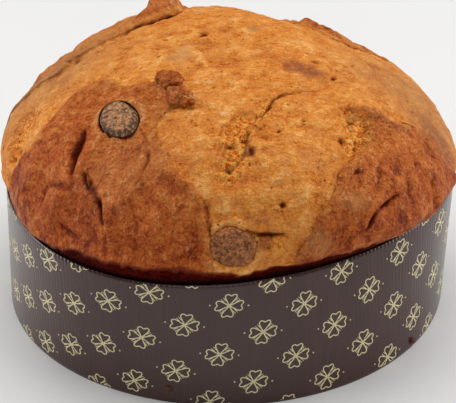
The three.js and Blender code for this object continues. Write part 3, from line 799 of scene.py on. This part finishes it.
def lump(place, roughness, lift, allowance=0.0, fine=0.0):
    unit, faces = ball(LUMP_CUTS)
    swollen = 1 + roughness * noise(unit * 2, place["seed"]) + fine * fractal(unit * 5, place["seed"] + 3, 2)
    radii = np.array(place["size"]) / 2
    axes, middle = crust_frame(place, lift)
    return unit * (radii * swollen[:, None] + allowance) @ axes.T + middle, faces


def boolean(obj, other, operation):
    modifier = obj.modifiers.new(operation, "BOOLEAN")
    modifier.object = other
    modifier.operation = operation
    modifier.solver = "MANIFOLD"
    graph = bpy.context.evaluated_depsgraph_get()
    mesh = bpy.data.meshes.new_from_object(obj.evaluated_get(graph))
    obj.modifiers.clear()
    old = obj.data
    obj.data = mesh
    bpy.data.meshes.remove(old)
    remove(other)


def mesh_points(obj):
    values = np.empty(len(obj.data.vertices) * 3)
    obj.data.vertices.foreach_get("co", values)
    return values.reshape(-1, 3) / MM


def add_attribute(obj, name, values):
    layer = obj.data.attributes.new(name, "FLOAT", "POINT")
    layer.data.foreach_set("value", np.asarray(values, np.float32))


def paint_bread(bread, dome, masks):
    """Gives the finished mesh the masks of the dome's nearest point."""
    tree = KDTree(len(dome))
    for number, point in enumerate(dome):
        tree.insert(point, number)
    tree.balance()
    points = mesh_points(bread)
    found = [tree.find(point) for point in points]
    nearest = np.array([hit[1] for hit in found])
    away = np.array([hit[2] for hit in found])
    low = points[:, 2] < CASE_HEIGHT - 2
    proud = smooth(0.5, 1.5, away) * ~low
    # Painted shade in the gap round each fruit, joined below with the dark spots of the proud pieces
    pocket = np.zeros(len(points))
    for fruit in FRUIT.values():
        axes, middle = crust_frame(fruit, -fruit["sunk"])
        local = (points - middle) @ axes / (np.array(fruit["size"]) / 2 + fruit["clear"])
        pocket = np.maximum(pocket, fruit["gap_shade"] * smooth(1.12, 1.02, np.linalg.norm(local, axis=1)))
    dark_spots = KNOB_DARKNESS * proud * smooth(0.15, 0.6, layers(points, KNOB_SPOTS))
    masks = {name: values[nearest] for name, values in masks.items()}
    masks["skin"] = np.maximum(masks["skin"], proud)
    masks["tan"] = np.maximum(masks["tan"], proud)
    masks["crevice_shade_and_spots"] = np.maximum(masks["crevice_shade_and_spots"] * (1 - proud), np.maximum(pocket, dark_spots))
    masks["crumb"] = masks["crumb"] * (1 - proud)
    masks["burnt"] = np.maximum(masks["burnt"], low)
    # The fine relief becomes a tone about 0.5, from which the material paints shade into hollows and light
    # onto rises
    masks["fine"] = np.clip(0.5 + masks["fine"] * 0.25, 0, 1)
    masks["purple"] = np.maximum(masks["purple"], KNOB_PURPLE * proud)
    for name, values in masks.items():
        add_attribute(bread, name, values)
    angle = np.arctan2(points[:, 0], -points[:, 1])
    flow = around(angle, FLOW_RADIUS, masks["down"] * RIM_REACH / FLOW_STRETCH)
    layer = bread.data.attributes.new("flow", "FLOAT_VECTOR", "POINT")
    layer.data.foreach_set("vector", (flow * MM).astype(np.float32).ravel())


class Graph:
    """Node tree of a material, built by short calls."""

    def __init__(self, name):
        self.material = bpy.data.materials.new(name)
        self.material.use_nodes = True
        self.tree = self.material.node_tree
        self.shader = self.tree.nodes["Principled BSDF"]
        self.place = self.tree.nodes.new("ShaderNodeTexCoord").outputs["Object"]

    def link(self, value, socket):
        if isinstance(value, bpy.types.NodeSocket):
            self.tree.links.new(value, socket)
        else:
            socket.default_value = value

    def fill(self, node, values):
        """Links or sets a node's inputs, named with underscores for spaces."""
        for name, value in values.items():
            self.link(value, node.inputs[name.replace("_", " ")])
        return node

    def node(self, kind, **values):
        return self.fill(self.tree.nodes.new("ShaderNode" + kind), values)

    def finish(self, **values):
        self.fill(self.shader, values)
        return self.material

    def attribute(self, name, output="Fac"):
        node = self.node("Attribute")
        node.attribute_name = name
        return node.outputs[output]

    def math(self, operation, a, b=0.0, clamp=False):
        node = self.node("Math")
        node.operation = operation
        node.use_clamp = clamp
        self.link(a, node.inputs[0])
        self.link(b, node.inputs[1])
        return node.outputs[0]

    def times(self, a, b):
        return self.math("MULTIPLY", a, b)

    def noise(self, size, detail=3.0, stretch=(1, 1, 1), roughness=0.55, place=None):
        """Noise about 0.5 whose lumps are size millimetres wide."""
        scale = [1 / (size * MM * s) for s in stretch]
        mapping = self.node("Mapping", Vector=place or self.place, Scale=scale)
        place = mapping.outputs[0]
        node = self.node("TexNoise", Vector=place, Scale=1.0, Detail=detail, Roughness=roughness)
        return node.outputs["Fac"]

    def cells(self, size):
        return self.node("TexVoronoi", Vector=self.place, Scale=1 / (size * MM)).outputs["Distance"]

    def ramp(self, factor, places, colours):
        node = self.node("ValToRGB", Fac=factor)
        elements = node.color_ramp.elements
        while len(elements) < len(places):
            elements.new(0.5)
        for element, place, colour in zip(elements, places, colours):
            element.position = place
            element.color = (*colour, 1)
        return node.outputs["Color"]

    def add(self, first, *others):
        total = first
        for other in others:
            total = self.math("ADD", total, other)
        return total

    def spread(self, value, amount):
        """A value about 0.5 turned into one about 0, from -amount / 2 to amount / 2."""
        return self.times(self.math("SUBTRACT", value, 0.5), amount)

    def ridges(self, value):
        """Noise folded into ridges: 1 on a ridge, falling away on both sides."""
        away = self.math("ABSOLUTE", self.math("SUBTRACT", value, 0.5))
        return self.math("SUBTRACT", 1.0, self.times(away, 4.0), clamp=True)

    def span(self, value, low, high, out_low=0.0, out_high=1.0):
        """A value between low and high turned smoothly into one between out_low and out_high."""
        node = self.node("MapRange", From_Min=low, From_Max=high, To_Min=out_low, To_Max=out_high)
        node.interpolation_type = "SMOOTHSTEP"
        self.link(value, node.inputs["Value"])
        return node.outputs[0]

    def mix(self, factor, *colours):
        node = self.node("Mix")
        node.data_type = "RGBA"
        self.link(factor, node.inputs[0])
        for number, colour in zip((6, 7), colours):
            self.link((*colour, 1) if isinstance(colour, tuple) else colour, node.inputs[number])
        return node.outputs[2]

    def bump(self, height, distance, normal=None):
        node = self.node("Bump", Distance=distance * MM, Strength=1.0, Height=height)
        if normal is not None:
            self.link(normal, node.inputs["Normal"])
        return node.outputs[0]


def crust_material():
    g = Graph("crust")
    flow = g.attribute("flow", "Vector")
    blotch = g.noise(15, 3)
    mottle = g.noise(4.2, 4, roughness=0.65)
    speck = g.noise(1.4, 3, roughness=0.75)
    veins = g.noise(3.0, 5, roughness=0.68, place=flow)
    streak = g.noise(1.8, 3, stretch=(4.0, 1, 1))
    tone = g.add(0.5, g.spread(blotch, 0.5), g.spread(mottle, 0.9), g.spread(speck, 1.5))
    # The fine relief painted into the tone: hollows darker as painted shade, rises lighter as painted light
    tone = g.add(tone, g.spread(g.attribute("fine"), 1.4))
    down = g.attribute("down")
    # Both ramps shift with down; the skin grows darker towards the rim, partly its own browning and partly
    # painted shade of the lower dome
    dough = g.ramp(g.add(tone, g.spread(streak, 0.6), g.span(down, 0.25, 1.0, 0.05, 0.03)),
                   CRUST_TONES, DOUGH_COLOURS)
    skin = g.ramp(g.add(tone, g.spread(veins, 1.1), g.span(down, 0.3, 1.0, 0.10, -0.16)),
                  CRUST_TONES, SKIN_COLOURS)
    dough = g.mix(g.span(g.noise(6, 3), 0.45, 0.72, 0.0, 0.4), dough, BLUSH)
    skin = g.mix(g.span(veins, 0.52, 0.74, 0.0, 0.4), skin, VEIN)
    thread = g.noise(2.4, 4, roughness=0.75, place=flow)
    skin = g.mix(g.span(thread, 0.58, 0.70, 0.0, 0.55), skin, LIGHT_THREAD)
    skin = g.mix(g.span(thread, 0.42, 0.32, 0.0, 0.6), skin, DARK_THREAD)
    colour = g.mix(g.attribute("tan"), dough, skin)
    crumb_colour = g.ramp(g.noise(2.0, 4, roughness=0.8), CRUMB_TONES, CRUMB_COLOURS)
    colour = g.mix(g.times(g.attribute("crumb"), 0.88), colour, crumb_colour)
    stain = g.span(g.noise(2.2, 3, roughness=0.7), 0.36, 0.56, 0.4, 0.95)
    colour = g.mix(g.times(g.attribute("purple"), stain), colour, STAIN)
    colour = g.mix(g.times(g.attribute("pale"), 0.6), colour, PALE)
    # Grey marks, and painted sheen on the loaf's flanks
    colour = g.mix(g.times(g.attribute("grey_and_sheen"), 0.7), colour, GREY_AND_SHEEN)
    pore = g.span(g.cells(3.1), 0.08, 0.26, 1.0, 0.0)
    pore = g.times(pore, g.span(g.noise(9, 2), 0.48, 0.62))
    colour = g.mix(g.times(pore, 0.65), colour, PORE)
    # Painted shade in creases, pits, crumb holes and the gap round the fruit, together with the knobs' dark
    # spots
    colour = g.mix(g.span(g.attribute("crevice_shade_and_spots"), 0.1, 0.9), colour, CREVICE_SHADE_AND_SPOTS)
    burnt = g.add(g.attribute("burnt"), g.spread(mottle, 0.5), g.spread(speck, 0.25))
    colour = g.mix(g.span(burnt, 0.06, 0.40), colour, SCORCH)
    char_and_gap_shadow = g.mix(g.span(g.noise(2.0, 3), 0.35, 0.65), CHAR_DARK, CHAR_RED)
    # Painted shadow of the gap between the loaf and the case: black along the last of the reach to the rim
    char_and_gap_shadow = g.mix(g.span(down, 0.968, 0.988), char_and_gap_shadow, RIM_GAP_SHADOW)
    colour = g.mix(g.span(burnt, 0.35, 0.80), colour, char_and_gap_shadow)
    rough = g.add(g.span(g.attribute("skin"), 0.2, 0.8, 0.66, 0.48), g.spread(speck, 0.4))
    gloss = g.span(g.math("MAXIMUM", burnt, g.attribute("crevice_shade_and_spots")), 0.2, 0.8, 0.17, 0.02)
    crinkle = g.times(g.ridges(veins), g.span(g.attribute("skin"), 0.2, 0.9, 0.1, 1.0))
    normal = g.bump(crinkle, 0.7)
    normal = g.bump(g.times(thread, g.attribute("skin")), 1.5, normal=normal)
    normal = g.bump(mottle, 1.7, normal=normal)
    normal = g.bump(g.add(speck, g.times(pore, -0.7)), 1.0, normal=normal)
    return g.finish(Base_Color=colour, Roughness=rough, Normal=normal, Specular_IOR_Level=gloss)


def paper_material():
    g = Graph("case_paper")
    streak = g.noise(1.2, 2, stretch=(1, 1, 60))
    broad = g.noise(9, 2, stretch=(1, 1, 8))
    colour = g.mix(streak, (0.036, 0.0128, 0.0108), (0.062, 0.0235, 0.0195))
    colour = g.mix(g.span(broad, 0.4, 0.7, 0.0, 0.35), colour, (0.072, 0.026, 0.019))
    rough = g.span(streak, 0.2, 0.8, 0.16, 0.28)
    normal = g.bump(streak, 0.08)
    return g.finish(Base_Color=colour, Roughness=rough, Normal=normal, Specular_IOR_Level=0.5)


def print_material():
    g = Graph("case_print")
    colour = g.mix(g.noise(1.2, 2), (0.62, 0.53, 0.28), (0.84, 0.75, 0.46))
    return g.finish(Base_Color=colour, Roughness=0.3)


def fruit_material(name, centre, rim, dark):
    g = Graph(name)
    grain = g.noise(1.7, 3, roughness=0.8)
    mottle = g.noise(3.5, 3)
    middle = g.add(g.attribute("centre"), g.spread(mottle, 1.3))
    colour = g.mix(g.span(middle, 0.3, 0.7), rim, centre)
    colour = g.mix(g.span(grain, 0.51, 0.40, 0.0, 1.0), colour, dark)
    colour = g.mix(g.span(grain, 0.52, 0.61, 0.0, 0.8), colour, tuple(min(1.7 * c, 1) for c in centre))
    normal = g.bump(g.add(mottle, grain), 1.6)
    return g.finish(Base_Color=colour, Roughness=0.6, Normal=normal, Specular_IOR_Level=0.25)


def plain_material(name, low, high, size, roughness):
    g = Graph(name)
    return g.finish(Base_Color=g.mix(g.noise(size, 3), low, high), Roughness=roughness)


def dress(obj, material, slot, *nodes):
    obj.data.materials.clear()
    obj.data.materials.append(material)
    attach(obj, BODY)
    if nodes:
        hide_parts(*nodes)
    return obj


def make_bread():
    bread, dome, masks = loaf_body()
    for index, ear in enumerate(EARS):
        boolean(bread, ear_sheet(ear, index), "UNION")
    for knob in KNOBS:
        boolean(bread, new_object("knob", *lump(knob, KNOB_LUMPS, KNOB_LIFT, fine=KNOB_GRAIN)), "UNION")
    for fruit in FRUIT.values():
        pocket = lump(fruit, FRUIT_LUMPS, -fruit["sunk"], fruit["clear"])
        boolean(bread, new_object("pocket", *pocket), "DIFFERENCE")
    for hole in skewer_holes():
        boolean(bread, skewer_rod(*hole, LOAF_HOLE_SHARE), "DIFFERENCE")
    bread.data.polygons.foreach_set("use_smooth", [True] * len(bread.data.polygons))
    paint_bread(bread, dome, masks)
    return dress(bread, crust_material(), "crust", "bread")


def skewer_holes():
    """Bearing and height of the four holes, where the two skewers went in and came out."""
    back = [(180 + 2 * SKEWER_BEARING - bearing, height) for bearing, height in SKEWERS]
    return SKEWERS + back


def skewer_rod(bearing, height, share=1.0):
    """Ragged rod that cuts a hole, along the direction that the skewers ran in."""
    direction = math.radians(SKEWER_BEARING)
    forward = np.array([-math.sin(direction), math.cos(direction), 0])
    across = np.array([math.cos(direction), math.sin(direction), 0])
    middle = around(math.radians(bearing), CASE_RADIUS, height)
    points = []
    for end, i in itertools.product((-0.5, 0.5), range(SKEWER_SIDES)):
        turn = 2 * math.pi * i / SKEWER_SIDES
        c, s = math.cos(turn), math.sin(turn)
        radius = SKEWER_RADIUS * share * (1 + SKEWER_RAGGED * noise([[c * 1.7, s * 1.7, bearing]], 90)[0])
        points.append(middle + forward * end * SKEWER_LENGTH + (across * c + (0, 0, s)) * radius)
    near, far = list(range(SKEWER_SIDES)), list(range(SKEWER_SIDES, 2 * SKEWER_SIDES))
    return new_object("skewer", points, join_rings(near, far) + [tuple(near[::-1]), tuple(far)])


def make_crumbs():
    """Bits of loaf that the skewers pushed out of the two holes in front."""
    material = plain_material("crumb", (0.030, 0.008, 0.004), (0.20, 0.040, 0.012), 1.5, 0.8)
    for index, (bearing, height) in enumerate(SKEWERS):
        unit, faces = ball(CRUMB_CUTS)
        size = CRUMB_SIZES[index] / 2 * (1 + 0.35 * fractal(unit * 2.2, 100 + index, 3))
        angle = math.radians(bearing)
        middle = around(angle, case_radius(angle, height, CRUMB_INSET), height + CRUMB_RISE)
        crumb = new_object(f"skewer_crumb_{index + 1}", unit * size[:, None] + middle, faces)
        dress(crumb, material, "crust")


def flute_inset(angle, height):
    """How far the fluted wall lies inside the case's outer radius."""
    depth = FLUTE_DEPTH + RIM_FLUTE_DEPTH * smooth(CASE_HEIGHT - RIM_FLUTE_HEIGHT, CASE_HEIGHT, height)
    return depth * (1 - np.abs(np.cos(angle * FLUTES / 2)))


def wall_points(angle, height, inset=0.0):
    return around(angle, case_radius(angle, height, inset) - flute_inset(angle, height), height)


def make_case():
    columns = FLUTES * FLUTE_STEPS
    angle = 2 * math.pi * np.arange(columns) / columns
    rings = [wall_points(angle, height) for height in [0, *OUTER_RINGS, CASE_HEIGHT]]
    rings += [wall_points(angle, height, WALL_THICKNESS) for height in [CASE_HEIGHT, *INNER_RINGS, PAPER]]
    points = np.concatenate(rings + [[[0, 0, 0]], [[0, 0, PAPER]]])
    numbers = np.arange(len(rings) * columns).reshape(-1, columns).tolist()
    faces = []
    for lower, upper in zip(numbers, numbers[1:]):
        faces += join_rings(lower, upper)
    faces += fan(len(points) - 2, numbers[0][::-1]) + fan(len(points) - 1, numbers[-1])
    case = new_object("paper_case_fluted", points, faces)
    for hole in skewer_holes():
        boolean(case, skewer_rod(*hole), "DIFFERENCE")
    return dress(case, paper_material(), "paper", "paper_case")


def clover_lines():
    """Lines of one clover on the unrolled paper with their widths, and the middles of its dots."""
    half_leaf, whisker = np.array(HALF_LEAF), np.array(WHISKER)
    leaf = np.concatenate([half_leaf, half_leaf[::-1] * (1, -1)])
    strokes = [(leaf, LINE_WIDTH), (whisker, WHISKER_WIDTH), (whisker[:, ::-1], WHISKER_WIDTH)]
    lines = []
    for quarter in range(4):
        angle = quarter * math.pi / 2
        turn = np.array([[math.cos(angle), -math.sin(angle)], [math.sin(angle), math.cos(angle)]])
        for stroke, width in strokes:
            lines.append((curve_through(stroke, steps=3) @ turn.T * CLOVER_SCALE @ CLOVER_SKEW, width))
    return lines, np.array(DOTS) @ CLOVER_SKEW


def paper_spots(spots, proud):
    """Places of spots of the unrolled paper on the case's outer wall."""
    return wall_points(spots[:, 0] / CASE_RADIUS, spots[:, 1], -proud)


def ribbon(line, width):
    """Thin closed strip of ink along a line on the unrolled paper."""
    along = np.gradient(line, axis=0)
    along /= np.linalg.norm(along, axis=1, keepdims=True)
    side = np.stack([-along[:, 1], along[:, 0]], axis=1) * width / 2
    corners = [(side, -INK_ROOT), (side, INK), (-side, INK), (-side, -INK_ROOT)]
    points = np.stack([paper_spots(line + aside, proud) for aside, proud in corners], axis=1).reshape(-1, 3)
    count = len(line)
    faces = []
    for i, k in itertools.product(range(count - 1), range(4)):
        n = (k + 1) % 4
        faces.append((4 * i + k, 4 * i + n, 4 * i + 4 + n, 4 * i + 4 + k))
    faces += [(3, 2, 1, 0), tuple(4 * (count - 1) + k for k in range(4))]
    return points, faces


def dot(middle):
    turn = 2 * math.pi * np.arange(DOT_SIDES) / DOT_SIDES
    circle = middle + DOT_RADIUS * np.stack([np.cos(turn), np.sin(turn)], axis=1)
    points = np.concatenate([paper_spots(circle, -INK_ROOT), paper_spots(circle, INK)])
    low, high = list(range(DOT_SIDES)), list(range(DOT_SIDES, 2 * DOT_SIDES))
    return points, join_rings(low, high) + [tuple(high), tuple(low[::-1])]


def make_print():
    lines, dots = clover_lines()
    points, faces, total = [], [], 0
    half_turn = math.pi * CASE_RADIUS

    def keep(piece):
        nonlocal total
        points.append(piece[0])
        faces.extend(tuple(number + total for number in face) for face in piece[1])
        total += len(piece[0])

    for c, r in itertools.product(LATTICE_STEPS, repeat=2):
        middle = np.array(LATTICE_START) + c * np.array(LATTICE_ALONG) + r * np.array(LATTICE_ACROSS)
        middle = middle + np.array(LATTICE_BEND) * (middle[0] / BEND_SPAN) ** 2
        if abs(middle[0]) > half_turn or not -CLOVER_REACH < middle[1] < CASE_HEIGHT + CLOVER_REACH:
            continue
        if np.hypot(*(middle - BARE_PLACE)) < BARE_RADIUS:
            continue
        slope = 2 * LATTICE_BEND[1] * middle[0] / BEND_SPAN**2
        tilt = np.array([[1, slope], [-slope, 1]]) / math.hypot(1, slope)
        for line, width in lines:
            spots = line @ tilt + middle
            inside = (spots[:, 1] > FOOT_MARGIN) & (spots[:, 1] < CASE_HEIGHT - RIM_MARGIN)
            for run in runs_of(inside):
                keep(ribbon(spots[run], width))
        for spot in dots @ tilt + middle:
            if DOT_MARGIN < spot[1] < CASE_HEIGHT - DOT_MARGIN:
                keep(dot(spot))
    clovers = new_object("paper_print", np.concatenate(points), faces, shade_smooth=False)
    return dress(clovers, print_material(), "paper_print")


def runs_of(flags):
    """Slices over which flags stay true, of two or more."""
    edges = np.flatnonzero(np.diff(np.concatenate([[0], flags.astype(int), [0]])))
    return [slice(a, b) for a, b in zip(edges[::2], edges[1::2]) if b - a > 1]


def make_fruit(name, fruit):
    points, faces = lump(fruit, FRUIT_LUMPS, -fruit["sunk"])
    axes, middle = crust_frame(fruit, -fruit["sunk"])
    local = (points - middle) @ axes
    across = np.hypot(local[:, 0] / fruit["size"][0], local[:, 1] / fruit["size"][1]) * 2
    top = local[:, 2] > 0
    dish = FRUIT_DISH * smooth(0.80, 0.55, across) * top
    local[:, 2] += FRUIT_WRINKLE * fractal(local / 3.0, fruit["seed"], 3) * top - dish
    obj = new_object(name + "_detail", local @ axes.T + middle, faces)
    add_attribute(obj, "centre", smooth(0.94, 0.62, across))
    return dress(obj, fruit_material(name, *fruit["colours"]), "fruit", name)


def make_stage():
    corners = [(-1, -1, 0), (1, -1, 0), (1, 1, 0), (-1, 1, 0)]
    floor = new_object("floor", np.array(corners) * FLOOR_METRES / MM, [(0, 1, 2, 3)], shade_smooth=False)
    white = plain_material("floor", (0.80, 0.795, 0.785), (0.83, 0.825, 0.815), 200, 0.9)
    floor.data.materials.append(white)


def add_light(name, place, target, size, power):
    data = bpy.data.lights.new(name, "AREA")
    data.shape = "RECTANGLE"
    data.size, data.size_y = size
    data.energy = power
    light = bpy.data.objects.new(name, data)
    bpy.context.scene.collection.objects.link(light)
    light.location = place
    light.rotation_euler = (Vector(target) - Vector(place)).to_track_quat("-Z", "Y").to_euler()


def make_lights():
    for name, softbox in SOFTBOXES.items():
        add_light(name, *softbox)
    world = bpy.data.worlds.new("studio")
    world.use_nodes = True
    background = world.node_tree.nodes["Background"]
    background.inputs["Color"].default_value = (1, 1, 1, 1)
    background.inputs["Strength"].default_value = WORLD_LIGHT
    bpy.context.scene.world = world


def make_camera():
    back = Vector((0, -math.cos(ELEVATION), math.sin(ELEVATION)))
    forward = -back
    right = Vector((1, 0, 0))
    up = right.cross(forward)
    rolled_right = math.cos(ROLL) * right + math.sin(ROLL) * up
    rolled_up = -math.sin(ROLL) * right + math.cos(ROLL) * up
    dx = (RIM_MIDDLE_PIXEL[0] - FRAME_PIXELS[0] / 2) / FOCAL_PIXELS
    dy = (RIM_MIDDLE_PIXEL[1] - FRAME_PIXELS[1] / 2) / FOCAL_PIXELS
    look = (forward - dx * rolled_right + dy * rolled_up).normalized()
    side = (rolled_right - rolled_right.dot(look) * look).normalized()
    above = side.cross(look)
    data = bpy.data.cameras.new("camera")
    data.sensor_width = SENSOR_MM
    data.lens = FOCAL_PIXELS / FRAME_PIXELS[0] * SENSOR_MM
    camera = bpy.data.objects.new("camera", data)
    bpy.context.scene.collection.objects.link(camera)
    axes = Matrix((side, above, -look)).transposed().to_4x4()
    place = (Vector((0, 0, CASE_HEIGHT)) + back * DISTANCE) * MM
    camera.matrix_world = Matrix.Translation(place) @ axes
    bpy.context.scene.camera = camera


make_bread()
make_case()
make_print()
for fruit_name, fruit_form in FRUIT.items():
    make_fruit(fruit_name, fruit_form)
make_crumbs()
make_stage()
make_lights()
make_camera()
bpy.context.scene.view_settings.view_transform = "Standard"
